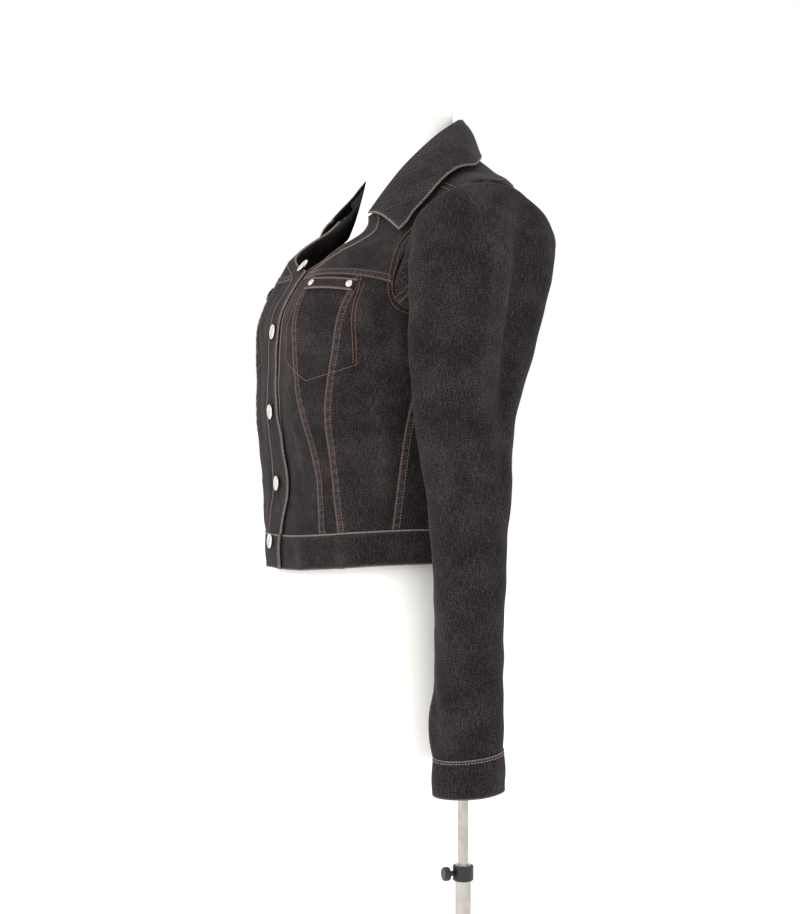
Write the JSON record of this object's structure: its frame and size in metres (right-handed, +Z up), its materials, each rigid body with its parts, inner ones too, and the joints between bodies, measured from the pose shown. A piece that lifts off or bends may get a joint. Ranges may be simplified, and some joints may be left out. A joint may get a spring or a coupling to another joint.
{
  "type": "denim jacket on dress form",
  "caption": "Cropped long-sleeved denim jacket buttoned on a limbless dress form, standing on a sliding pole with a round base.",
  "frame": {"origin": "on the floor under the dress form, on the underside of the base plate", "axes": "+Z up, -Y out of the jacket's front, +X to the wearer's left"},
  "size_m": [0.5172, 0.3503, 1.454],
  "materials": {
    "denim": "black rinse denim, dry twill",
    "button_metal": "plain bright metal buttons and rivets",
    "form_cover": "smooth white cover on a rigid form",
    "chrome": "polished chrome plate",
    "black_plastic": "moulded black plastic"
  },
  "bodies": {
    "stand": {"base_plate": "chrome", "base_socket": "chrome", "lower_tube": "chrome", "clamp_collar": "black_plastic", "clamp_knob": "black_plastic"},
    "figure": {"back_centre": "denim", "back_side_L": "denim", "back_side_R": "denim", "back_yoke": "denim", "button_bust": "button_metal", "button_midriff": "button_metal", "button_waist": "button_metal", "button_waistband": "button_metal", "button_yoke": "button_metal", "chest_welt_L": "denim", "chest_welt_R": "denim", "collar_leaf": "denim", "collar_stand": "denim", "cuff_L": "denim", "cuff_R": "denim", "dress_form": "form_cover", "front_centre_L": "denim", "front_centre_R": "denim", "front_middle_L": "denim", "front_middle_R": "denim", "front_side_L": "denim", "front_side_R": "denim", "front_yoke_L": "denim", "front_yoke_R": "denim", "placket_L": "denim", "placket_R": "denim", "pole": "chrome", "rivet_L1": "button_metal", "rivet_L2": "button_metal", "rivet_R1": "button_metal", "rivet_R2": "button_metal", "sleeve_under_L": "denim", "sleeve_under_R": "denim", "sleeve_upper_L": "denim", "sleeve_upper_R": "denim", "waistband": "denim"}
  },
  "joints": [
    {"name": "height_slide", "type": "slide", "parent": "stand", "child": "figure", "axis": [0, 0, 1], "range_m": [-0.15, 0.12]}
  ]
}
